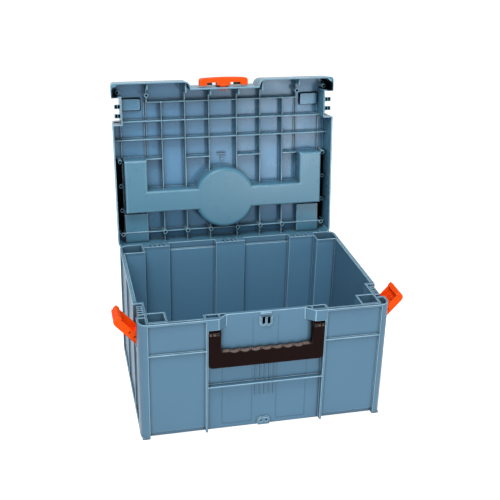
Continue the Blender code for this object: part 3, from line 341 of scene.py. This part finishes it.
def base_slot_shade(finish):
    """Mask of the painted shade in the front catch's slots, the slanted cuts over the hinge and the comb's
    slots.
    """
    x, y, z = finish.axes()
    away = finish.size(x)
    catch = finish.band(away, 1.8, 6.6, 0.2) * finish.band(z, 183.0, 195.7, 0.2)
    catch = catch * finish.band(y, FRONT + 12.7, FRONT + 18.0, 0.4)
    station = finish.band(away, 111.0, 153.0, 1.0) + finish.band(away, -1.0, 22.0, 1.0)
    cut = station * finish.band(y, 132.0, 146.0, 0.3) * finish.band(z, 198.0, 205.0, 0.3)
    comb = finish.band(away, 186.4, 193.0, 0.2) * finish.band(y, -112.5, -83.5, 0.2)
    return catch + cut + comb * finish.band(z, 196.0, 204.9, 0.3)


def base_cavity(finish):
    """Mask of the walls that face the base's cavity, which are painted a paler tone as light."""
    x, y, z = finish.axes()
    across = finish.spread(finish.size(x), 190.0 * MM, 187.0 * MM)
    return across * finish.band(y, -128.0, 142.0, 0.5) * finish.band(z, 2.0, 198.0, 4.0)


def lid_place(finish):
    """Distance from the lid's middle, place along the lid and depth below its rim."""
    x, y, z = finish.axes()
    back = LID_TURN.inverted()
    along = y * back[1][1] + z * back[1][2] + back[1][3]
    depth = y * back[2][1] + z * back[2][2] + (back[2][3] - BASE_TOP * MM)
    return finish.size(x), along, depth


def lid_ceiling(finish):
    """Mask of the lid's inside near its ceiling, which is painted a paler, bluer tone as light."""
    depth = lid_place(finish)[2]
    return finish.spread(depth, 28.0 * MM, 42.0 * MM)


def lid_slot_shade(finish):
    """Mask of the painted shade in the lid's narrow gaps and the holes of its bosses, with a painted
    shadow round its front pads.
    """
    away, along, depth = lid_place(finish)
    side = finish.band(away, 181.9, 193.0, 0.5) * finish.band(along, -9.0, 122.0, 1.0)
    side = side * finish.band(depth, 20.4, 44.0, 1.0)
    corner = finish.band(away, 186.6, 199.0, 0.5) * finish.band(along, -141.0, -121.9, 0.5)
    corner = corner * finish.band(depth, -1.0, 44.0, 0.5) * 0.85
    corner = corner * inner_corner(finish, away, along, depth)
    bar = finish.size(finish.size(along + 100.0 * MM) - 8.0 * MM)
    bar = finish.band(bar, -1.0, 2.8, 0.1) * finish.band(away, 183.2, 192.0, 0.2)
    bar = bar * finish.band(depth, 1.0, 3.8, 0.2)
    seam = finish.band(away, 184.5, 193.0, 0.5) * finish.band(along, -79.0, -76.4, 0.2)
    seam = seam * finish.band(depth, 22.0, 32.0, 2.0)
    low_x, high_x, low_y, high_y = PAD
    # Painted shadow round the front pads
    pad_shadow = finish.band(away, low_x - 2.2, high_x + 2.2, 0.8)
    pad_shadow = pad_shadow * finish.band(along, low_y - 2.2, high_y + 2.2, 0.8)
    pad_shadow = pad_shadow * finish.band(depth, 36.0, 44.0, 0.3) * 0.9
    holes = boss_holes(finish, away, along) * finish.band(depth, 19.9, 44.0, 0.3)
    return side + corner + bar + seam + pad_shadow + holes


def inner_corner(finish, away, along, depth):
    """Mask of what lies inside the outer skin of the lid's round front corners."""
    lean = depth * LID_LEAN
    across = (away + lean) - (HALF_WIDTH - CORNER_ROUND) * MM
    ahead = (lean - along) + (FRONT + CORNER_ROUND) * MM
    across = finish.node("ShaderNodeMath", {"operation": "MAXIMUM"}, {0: across, 1: 0.0})
    ahead = finish.node("ShaderNodeMath", {"operation": "MAXIMUM"}, {0: ahead, 1: 0.0})
    far = finish.node("ShaderNodeMath", {"operation": "SQRT"}, {0: across * across + ahead * ahead})
    return finish.band(far, -1.0, CORNER_ROUND - 1.2, 0.4)


def boss_holes(finish, away, along):
    """Mask of the round holes in the lid's bosses."""
    holes = 0.0
    for x, y in BOSSES:
        across = away - x * MM
        ahead = along - y * MM
        far = finish.node("ShaderNodeMath", {"operation": "SQRT"}, {0: across * across + ahead * ahead})
        holes = finish.band(far, -1.0, 2.1, 0.2) + holes
    return holes


def drawn_steel(name, colour):
    """Drawn pin steel with fine scratches."""
    finish = Finish(name)
    scratch = finish.noise(900.0, 3.0, 0.7)
    dark = tuple(value * 0.8 for value in colour)
    finish.set("Base Color", finish.mix(scratch, dark, colour))
    finish.set("Roughness", finish.spread(scratch, 0.3, 0.7, 0.24, 0.42))
    finish.shader.inputs["Metallic"].default_value = 1.0
    return finish.material


def node_copy(name):
    """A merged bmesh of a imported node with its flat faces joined."""
    bm = bmesh.new()
    bm.from_mesh(frame["nodes"][name].data)
    bmesh.ops.remove_doubles(bm, verts=bm.verts, dist=JOINED)
    bmesh.ops.dissolve_limit(bm, angle_limit=FLAT, verts=bm.verts, edges=bm.edges)
    bm.faces.layers.float.new("edge")
    return bm


def round_edges(bm, radius, chosen=None, segments=2, mark=1.0):
    """Round the sharp edges of a shape, or the chosen ones, and mark the new faces as edges, which the
    plastics paint pale as a highlight.
    """
    bmesh.ops.triangulate(bm, faces=[face for face in bm.faces if len(face.verts) > 4])
    sharp = [edge for edge in bm.edges if edge.is_manifold and edge.calc_face_angle(0) > SHARP]
    if chosen:
        sharp = [edge for edge in sharp if chosen(edge)]
    made = bmesh.ops.bevel(bm, geom=sharp, offset=radius, offset_type="OFFSET", segments=segments,
                           profile=0.5, affect="EDGES", clamp_overlap=False, loop_slide=False, material=-1)
    layer = bm.faces.layers.float["edge"]
    for face in made["faces"]:
        face[layer] = mark


def piece(name, bm, body, material, replaced=()):
    """Finish a bmesh as a piece of the case that rides on a body."""
    mesh = bpy.data.meshes.new(name)
    bm.to_mesh(mesh)
    bm.free()
    mesh.materials.append(material)
    mesh.shade_smooth()
    mesh.set_sharp_from_angle(angle=SMOOTH)
    item = bpy.data.objects.new(name, mesh)
    bpy.context.scene.collection.objects.link(item)
    level = item.modifiers.new("flat faces", "WEIGHTED_NORMAL")
    level.keep_sharp = True
    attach(item, body)
    if replaced:
        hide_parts(*replaced)
    return item


def dressed_node(node, body, material, radius, chosen=None):
    """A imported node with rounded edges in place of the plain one."""
    bm = node_copy(node)
    round_edges(bm, radius, chosen)
    return piece(node + "_moulding", bm, body, material, (node,))


def add_block(bm, xs, ys, zs, lean=None):
    """Add a box in millimetres; a lean moves its depth with the height."""
    middle = Vector((sum(xs), sum(ys), sum(zs))) / 2
    size = Matrix.Diagonal((xs[1] - xs[0], ys[1] - ys[0], zs[1] - zs[0], 1.0))
    made = bmesh.ops.create_cube(bm, size=1.0, matrix=Matrix.Translation(middle) @ size)
    for vert in made["verts"]:
        if lean:
            vert.co.y += lean(vert.co.z)
        vert.co *= MM


def add_disc(bm, place, radius, tall, axis="Z", segments=24):
    """Add a short round bar in millimetres about a point, along the height or the depth."""
    facing = {"Y": Matrix.Rotation(math.pi / 2, 4, "X"), "Z": Matrix.Identity(4)}[axis]
    spot = Matrix.Translation(Vector(place) * MM) @ facing
    bmesh.ops.create_cone(bm, cap_ends=True, segments=segments, radius1=radius * MM, radius2=radius * MM,
                          depth=tall * MM, matrix=spot)


def add_half_ring(bm, place, inner, outer, ys):
    """Add the lower half of a ring that faces the front, in millimetres."""
    x, z = place
    wide = Matrix.Diagonal((outer - inner, ys[1] - ys[0], 1.0, 1.0))
    spot = Matrix.Translation((x - (inner + outer) / 2, (ys[0] + ys[1]) / 2, z))
    made = bmesh.ops.create_grid(bm, x_segments=1, y_segments=1, size=0.5,
                                 matrix=Matrix.Scale(MM, 4) @ spot @ wide)
    faces = list({face for vert in made["verts"] for face in vert.link_faces})
    edges = list({edge for face in faces for edge in face.edges})
    bmesh.ops.spin(bm, geom=made["verts"] + edges + faces, cent=Vector((x, 0, z)) * MM, axis=(0, -1, 0),
                   angle=math.pi, steps=10)
    bmesh.ops.recalc_face_normals(bm, faces=bm.faces)


def turn(bm, matrix):
    """Turn a shape and refresh its normals."""
    bm.transform(matrix)
    bm.normal_update()


def detail():
    """An empty bmesh that keeps edge marks."""
    bm = bmesh.new()
    bm.faces.layers.float.new("edge")
    return bm


def mark_faces(bm, mark):
    """Give every face of a shape the same edge mark."""
    layer = bm.faces.layers.float["edge"]
    for face in bm.faces:
        face[layer] = mark


class CASE_OT_base(bpy.types.Operator):
    """Mould the base shell"""
    bl_idname = "case.base"
    bl_label = "Base shell"

    def execute(self, context):
        look = context.scene.case_finish
        plastic = moulded_plastic("blue_base_plastic", tuple(look.body), tuple(look.body_highlight),
                                  look.roughness, slots=base_slot_shade, inside=base_cavity,
                                  lit_inside_colour=tuple(look.cavity))
        dressed_node("base_shell", "base", plastic, look.edge_round)
        self.front_lines(plastic)
        self.catch_rims(plastic, look.edge_round)
        self.rim_lines(plastic)
        return {"FINISHED"}

    def catch_rims(self, plastic, radius):
        """Raised U-shaped rims round the two slots of the front catch."""
        rims = detail()
        deep = (FRONT + 9.4, FRONT + 12.9)
        for side in (-1, 1):
            add_half_ring(rims, (side * 4.2, 186.6), 2.3, 5.2, deep)
            add_block(rims, sorted((side * 6.5, side * 9.4)), deep, (186.5, 196.0))
        add_block(rims, (-1.9, 1.9), deep, (185.5, 196.0))
        round_edges(rims, radius)
        piece("front_catch_rim", rims, "base", plastic)

    def rim_lines(self, plastic):
        """Fine ridges along the tops of the side walls, painted pale all over as a highlight."""
        lines = detail()
        high = (BASE_TOP - 0.5, BASE_TOP + 0.1)
        for side in (-1, 1):
            for x in (192.6, 195.0, 197.2):
                add_block(lines, sorted((side * x - 0.35, side * x + 0.35)), (-68.0, 108.0), high)
        mark_faces(lines, 1.0)
        piece("rim_line_relief", lines, "base", plastic)

    def front_lines(self, plastic):
        """Low moulded lines on the set-back front centre."""
        lines = detail()
        proud = (-0.3, 0.4)
        for side in (-1, 1):
            for x in (20.0, 68.0):
                across = sorted((side * x - 0.4, side * x + 0.4))
                add_block(lines, across, proud, (10.0, 82.0), front_face)
                add_block(lines, across, proud, (86.0, 197.0), front_face)
            across = sorted((side * 20.0, side * 68.0))
            add_block(lines, across, proud, (9.6, 10.4), front_face)
            add_block(lines, across, proud, (80.5, 81.3), front_face)
        for index in range(-2, 3):
            x = 7.4 * index
            add_block(lines, (x - 0.8, x + 0.8), (-0.8, 0.4), (58.0, 82.0), front_face)
            add_block(lines, (x - 0.8, x + 0.8), (-0.8, 0.4), (86.0, 117.0), front_face)
        piece("front_line_relief", lines, "base", plastic)


class CASE_OT_lid(bpy.types.Operator):
    """Mould the lid shell"""
    bl_idname = "case.lid"
    bl_label = "Lid shell"

    def execute(self, context):
        look = context.scene.case_finish
        satin = look.roughness - 0.12
        plastic = moulded_plastic("blue_lid_plastic", tuple(look.lid), tuple(look.body_highlight), satin,
                                  slots=lid_slot_shade, inside=lid_ceiling, lit_inside_colour=tuple(look.ceiling))
        shell = node_copy("lid_shell")
        turn(shell, LID_TURN.inverted())
        round_edges(shell, PAD_ROUND, self.pad_corner, segments=4, mark=0.0)
        round_edges(shell, RECESS_ROUND, self.plateau, segments=4, mark=0.25)
        round_edges(shell, STEP_ROUND, self.ring, segments=3, mark=0.25)
        round_edges(shell, look.edge_round, self.wide)
        round_edges(shell, THIN_ROUND, self.narrow)
        turn(shell, LID_TURN)
        piece("lid_shell_moulding", shell, "lid", plastic, ("lid_shell",))
        self.ceiling_marks(plastic)
        self.side_lips(plastic)
        self.dome_round(plastic)
        return {"FINISHED"}

    def plateau(self, edge):
        """Whether an edge runs round the face of the handle recess."""
        return all(abs(vert.co.z / MM - BASE_TOP - U_DEPTH) < 0.05 for vert in edge.verts)

    def pad_corner(self, edge):
        """Whether an edge stands at a corner of one of the two front pads."""
        low_x, high_x, low_y, high_y = PAD
        for vert in edge.verts:
            x, y = vert.co.xy / MM
            if min(abs(abs(x) - low_x), abs(abs(x) - high_x)) > 0.1:
                return False
            if min(abs(y - low_y), abs(y - high_y)) > 0.1:
                return False
        return edge.calc_length() < 10.0 * MM

    def narrow(self, edge):
        """Whether an edge belongs to one of the two thin twin ribs."""
        for vert in edge.verts:
            x = vert.co.x / MM
            y = vert.co.y / MM
            if not (134.5 < abs(x) < 140.2 and -111.0 < y < -9.0):
                return False
        return True

    def wedge(self, edge):
        """Whether an edge belongs to one of the two thin wedges beside the lock's recess."""
        for vert in edge.verts:
            x, y, z = vert.co / MM
            if not 67.0 < abs(x) < 69.6 or y > -144.0 or z < BASE_TOP + 28.0:
                return False
        return True

    def wide(self, edge):
        """Whether an edge belongs to any other form."""
        return not (self.narrow(edge) or self.wedge(edge))

    def ring(self, edge):
        """Whether an edge runs round the dome's lower step."""
        x, y, radius, depth = DOME
        for vert in edge.verts:
            if abs(vert.co.z / MM - BASE_TOP - depth) > 0.05:
                return False
            if abs(math.hypot(vert.co.x / MM - x, vert.co.y / MM - y) - radius) > 0.3:
                return False
        return True

    def dome_round(self, plastic):
        """Large round between the dome's face and its side."""
        x, y, radius = DOME[:3]
        high = BASE_TOP + U_DEPTH - 0.05
        deep = high + 8.0
        inner = radius - 11.0
        centre = radius - 6.5
        crown = 6.6
        outline = [(inner, deep), (inner, high)]
        for step in range(9):
            angle = math.pi / 2 * step / 8
            outline.append((centre + crown * math.sin(angle), high + crown - crown * math.cos(angle)))
        outline.append((radius + 0.1, deep))
        bowl = detail()
        verts = [bowl.verts.new(Vector((x + across, y, up)) * MM) for across, up in outline]
        edges = [bowl.edges.new((verts[index - 1], vert)) for index, vert in enumerate(verts)]
        bmesh.ops.spin(bowl, geom=verts + edges, cent=Vector((x, y, 0)) * MM, axis=(0, 0, 1),
                       angle=2 * math.pi, steps=72, use_merge=True)
        bmesh.ops.recalc_face_normals(bowl, faces=bowl.faces)
        turn(bowl, LID_TURN)
        piece("dome_round_relief", bowl, "lid", plastic)

    def side_lips(self, plastic):
        """Fine lips along the rims of the lid's side walls, painted pale all over as a highlight."""
        lips = detail()
        for side in (-1, 1):
            across = sorted((side * 196.2, side * 197.0))
            add_block(lips, across, (-68.0, 118.0), (BASE_TOP + 0.2, BASE_TOP + 1.4))
        mark_faces(lips, 1.0)
        turn(lips, LID_TURN)
        piece("lid_lip_relief", lips, "lid", plastic)

    def ceiling_marks(self, plastic):
        """Round ejector marks, a small diamond and a short rib on the lid's ceiling."""
        marks = detail()
        roof = BASE_TOP + CEILING
        for x, y in ((101.0, -102.0), (36.0, -103.0), (35.0, -56.5)):
            for side in (-1, 1):
                add_disc(marks, (side * x, y, roof), 4.6, 0.7)
        add_disc(marks, (0.0, -0.5, roof - 1.0), 3.2, 4.0, segments=4)
        add_block(marks, (-8.0, 8.0), (-12.0, -10.6), (roof - 6.0, roof + 0.5))
        round_edges(marks, FINE_ROUND)
        turn(marks, LID_TURN)
        piece("ceiling_mark_relief", marks, "lid", plastic)


class CASE_OT_catches(bpy.types.Operator):
    """Mould the front lock and the side latches"""
    bl_idname = "case.catches"
    bl_label = "Lock and latches"

    def execute(self, context):
        look = context.scene.case_finish
        # Painted highlight: a paler orange painted on the rounded edges of the lock and latches
        pale = tuple(min(1.0, value * 1.1 + 0.03) for value in look.orange)
        plastic = moulded_plastic("orange_plastic", tuple(look.orange), pale, look.roughness,
                                  shade=0.95, crevice_shade=1.0, shine=0.06)
        dressed_node("lock_knob", "lock", plastic, look.edge_round)
        self.window_shades(look)
        for label, side in SIDES:
            clear = self.off_knuckle("side_latch_" + label)
            dressed_node("side_latch_" + label, "latch_" + label, plastic, look.edge_round, clear)
            self.latch_ribs(label, side, plastic)
            self.latch_notches(label, side, look)
        return {"FINISHED"}

    def window_shades(self, look):
        """Dark sheets of painted shade across the outer ends of the lock's windows."""
        dark = moulded_plastic("lock_web_plastic", (0.020, 0.006, 0.008), (0.06, 0.02, 0.02),
                               look.roughness)
        shade_sheets = detail()
        for side in (-1, 1):
            across = sorted((side * 19.0, side * 30.5))
            add_block(shade_sheets, across, (FRONT + 5.4, FRONT + 10.6), (BASE_TOP + 20.0, BASE_TOP + 23.0))
        turn(shade_sheets, LID_TURN)
        piece("lock_window_web", shade_sheets, "lock", dark)

    def latch_notches(self, label, side, look):
        """Two dark blocks of painted shade standing for notches in the front edge of a latch."""
        deep = tuple(value * 0.4 for value in look.orange)
        dark = moulded_plastic("notch_plastic_" + label, deep, deep, look.roughness, shine=0.03)
        notches = detail()
        across = sorted((side * 188.6, side * 192.4))
        for height in (173.0, 184.0):
            add_block(notches, across, (-117.15, -116.0), (height, height + 2.4))
        turn(notches, joint_turn("side_latch_" + label, side * LATCH_TURN))
        piece("side_latch_notch_" + label, notches, "latch_" + label, dark)

    def off_knuckle(self, joint):
        """Test of whether an edge is clear of the knuckle of a latch."""
        point = joint_place(joint)[0]

        def clear(edge):
            reach = [math.hypot(vert.co.x - point.x, vert.co.z - point.z) for vert in edge.verts]
            return min(reach) > KNUCKLE_REACH * MM
        return clear

    def latch_ribs(self, label, side, plastic):
        """Ribs in the hollow of a latch, in line with the slots of the comb on the base."""
        ribs = detail()
        across = sorted((side * LATCH_HOLLOW[0], side * LATCH_HOLLOW[1]))
        for index in range(COMB_SLOTS):
            middle = COMB_FIRST + COMB_PITCH * index
            add_block(ribs, across, (middle - 0.9, middle + 0.9), (198.0, 205.0))
        across = sorted((side * 188.0, side * LATCH_HOLLOW[1]))
        add_block(ribs, across, LATCH_WALLS, (166.4, 167.8))
        round_edges(ribs, FINE_ROUND)
        turn(ribs, joint_turn("side_latch_" + label, side * LATCH_TURN))
        piece("side_latch_rib_" + label, ribs, "latch_" + label, plastic)


class CASE_OT_handles(bpy.types.Operator):
    """Mould the front handle and the lid's handle"""
    bl_idname = "case.handles"
    bl_label = "Handles"

    def execute(self, context):
        look = context.scene.case_finish
        plastic = moulded_plastic("dark_brown_plastic", tuple(look.brown), tuple(look.highlight_tone),
                                  look.roughness, shade=0.8, shine=0.03)
        grip = node_copy("front_handle")
        self.paint_scallop_highlights(grip)
        round_edges(grip, look.edge_round, mark=0.12)
        piece("front_handle_moulding", grip, "carry_handle", plastic, ("front_handle",))
        grip = node_copy("lid_handle")
        round_edges(grip, look.edge_round, mark=0.12)
        piece("lid_handle_moulding", grip, "top_handle", plastic, ("lid_handle",))
        self.handle_marks(plastic)
        return {"FINISHED"}

    def paint_scallop_highlights(self, grip):
        """Mark the hollows of the grip, which are painted pale as a reflection."""
        layer = grip.faces.layers.float["edge"]
        for face in grip.faces:
            place = face.calc_center_median() / MM
            if face.normal.z > 0.6 and abs(place.x) < 70 and 140 < place.z < 150:
                face[layer] = 0.8

    def handle_marks(self, plastic):
        """A dot on the grip, and at the tops of the arms black blocks of painted shade for sockets and
        keys painted pale as highlights.
        """
        marks = detail()
        add_disc(marks, (0.0, FRONT, 133.5), 2.2, 0.5, "Y")
        piece("front_handle_dot", marks, "carry_handle", plastic)
        dark = moulded_plastic("socket_plastic", (0.004, 0.003, 0.003), (0.01, 0.008, 0.008), 0.5)
        sockets = detail()
        lights = detail()
        for side in (-1, 1):
            add_block(sockets, sorted((side * 75.0, side * 80.0)), HANDLE_SKIN, (176.5, 182.0))
            for near, far in ((80.6, 85.0), (87.0, 90.4)):
                add_block(lights, sorted((side * near, side * far)), HANDLE_SKIN, (177.0, 181.5))
        mark_faces(lights, 0.45)
        piece("front_handle_socket", sockets, "carry_handle", dark)
        piece("front_handle_key_relief", lights, "carry_handle", plastic)


class CASE_OT_pins(bpy.types.Operator):
    """Finish the steel pins"""
    bl_idname = "case.pins"
    bl_label = "Pins"

    def execute(self, context):
        look = context.scene.case_finish
        steel = drawn_steel("pin_steel", tuple(look.steel))
        for name, node in frame["nodes"].items():
            if "_pin_" in name:
                node.data.materials.clear()
                node.data.materials.append(steel)
        return {"FINISHED"}


class CASE_OT_studio(bpy.types.Operator):
    """Set the camera, the lamps and the white floor"""
    bl_idname = "case.studio"
    bl_label = "Studio"

    def execute(self, context):
        scene = context.scene
        studio = scene.case_studio
        self.camera(scene, studio)
        self.floor(scene, studio)
        self.world(scene, studio)
        for name, place, size in LAMPS:
            self.lamp(scene, name + "_lamp", getattr(studio, name), place, size)
        scene.view_settings.view_transform = "Standard"
        return {"FINISHED"}

    def camera(self, scene, studio):
        """Camera at the photograph's place."""
        cos_el = math.cos(studio.elevation)
        back = Vector((math.sin(studio.azimuth) * cos_el, -math.cos(studio.azimuth) * cos_el,
                       math.sin(studio.elevation)))
        right = (-back).cross(Vector((0, 0, 1))).normalized()
        up = right.cross(-back)
        side = math.cos(studio.roll) * right + math.sin(studio.roll) * up
        top = math.cos(studio.roll) * up - math.sin(studio.roll) * right
        data = bpy.data.cameras.new("case_camera")
        data.sensor_width = 36.0
        data.sensor_fit = "AUTO"
        data.lens = studio.lens
        data.clip_start = 0.05
        item = bpy.data.objects.new("case_camera", data)
        facing = Matrix((side, top, back)).transposed().to_4x4()
        item.matrix_world = Matrix.Translation(studio.camera) @ facing
        scene.collection.objects.link(item)
        scene.camera = item

    def floor(self, scene, studio):
        """White floor that keeps the shadow."""
        bm = bmesh.new()
        low = CAD_BOX[0][2]
        bmesh.ops.create_grid(bm, x_segments=1, y_segments=1, size=studio.floor / 2,
                              matrix=Matrix.Translation((0, 0, low - 0.0002)))
        mesh = bpy.data.meshes.new("studio_floor")
        bm.to_mesh(mesh)
        bm.free()
        paper = Finish("white_paper")
        tone = paper.spread(paper.noise(30.0, 3.0), 0.3, 0.7)
        paper.set("Base Color", paper.mix(tone, (0.78, 0.78, 0.785), (0.80, 0.80, 0.80)))
        paper.shader.inputs["Roughness"].default_value = 0.9
        paper.shader.inputs["Specular IOR Level"].default_value = 0.1
        level = seen_level(paper, studio.bounce, studio.glow)
        glow = paper.node("ShaderNodeCombineColor", {}, {0: level, 1: level, 2: level})
        paper.set("Emission Color", glow)
        paper.shader.inputs["Emission Strength"].default_value = 1.0
        mesh.materials.append(paper.material)
        item = bpy.data.objects.new("studio_floor", mesh)
        scene.collection.objects.link(item)

    def world(self, scene, studio):
        """White surroundings, with a softer level for the light they give."""
        air = Surroundings("studio_world")
        scene.world = air.world
        level = seen_level(air, studio.ambient, 1.0)
        air.feed(air.shader.inputs["Color"], (1, 1, 1))
        air.feed(air.shader.inputs["Strength"], level)

    def lamp(self, scene, name, power, place, size):
        """A soft lamp of a width and a height that points at the case."""
        data = bpy.data.lights.new(name, "AREA")
        data.energy = power
        data.shape = "RECTANGLE"
        data.size = size[0]
        data.size_y = size[1]
        item = bpy.data.objects.new(name, data)
        aim = Vector(LAMP_AIM) - Vector(place)
        item.matrix_world = Matrix.Translation(place) @ aim.to_track_quat("-Z", "Y").to_matrix().to_4x4()
        scene.collection.objects.link(item)


class CASE_PT_panel(bpy.types.Panel):
    """Lists the pieces of the case"""
    bl_label = "Storage Case"
    bl_idname = "CASE_PT_panel"
    bl_space_type = "VIEW_3D"
    bl_region_type = "UI"
    bl_category = "Case"

    def draw(self, context):
        for operator in OPERATORS:
            self.layout.operator(operator.bl_idname)
        for group in (context.scene.case_finish, context.scene.case_studio):
            for name in group.bl_rna.properties.keys():
                if name not in ("rna_type", "name"):
                    self.layout.prop(group, name)


OPERATORS = (CASE_OT_base, CASE_OT_lid, CASE_OT_catches, CASE_OT_handles, CASE_OT_pins, CASE_OT_studio)
CLASSES = (CaseFinish, CaseStudio) + OPERATORS + (CASE_PT_panel,)


def register():
    """Add the classes and their settings to Blender."""
    for item in CLASSES:
        bpy.utils.register_class(item)
    bpy.types.Scene.case_finish = PointerProperty(type=CaseFinish)
    bpy.types.Scene.case_studio = PointerProperty(type=CaseStudio)


def unregister():
    """Take them out again."""
    del bpy.types.Scene.case_studio
    del bpy.types.Scene.case_finish
    for item in reversed(CLASSES):
        bpy.utils.unregister_class(item)


def main():
    """Make every piece and the studio."""
    register()
    bpy.ops.case.base()
    bpy.ops.case.lid()
    bpy.ops.case.catches()
    bpy.ops.case.handles()
    bpy.ops.case.pins()
    bpy.ops.case.studio()


if __name__ == "__main__":
    main()
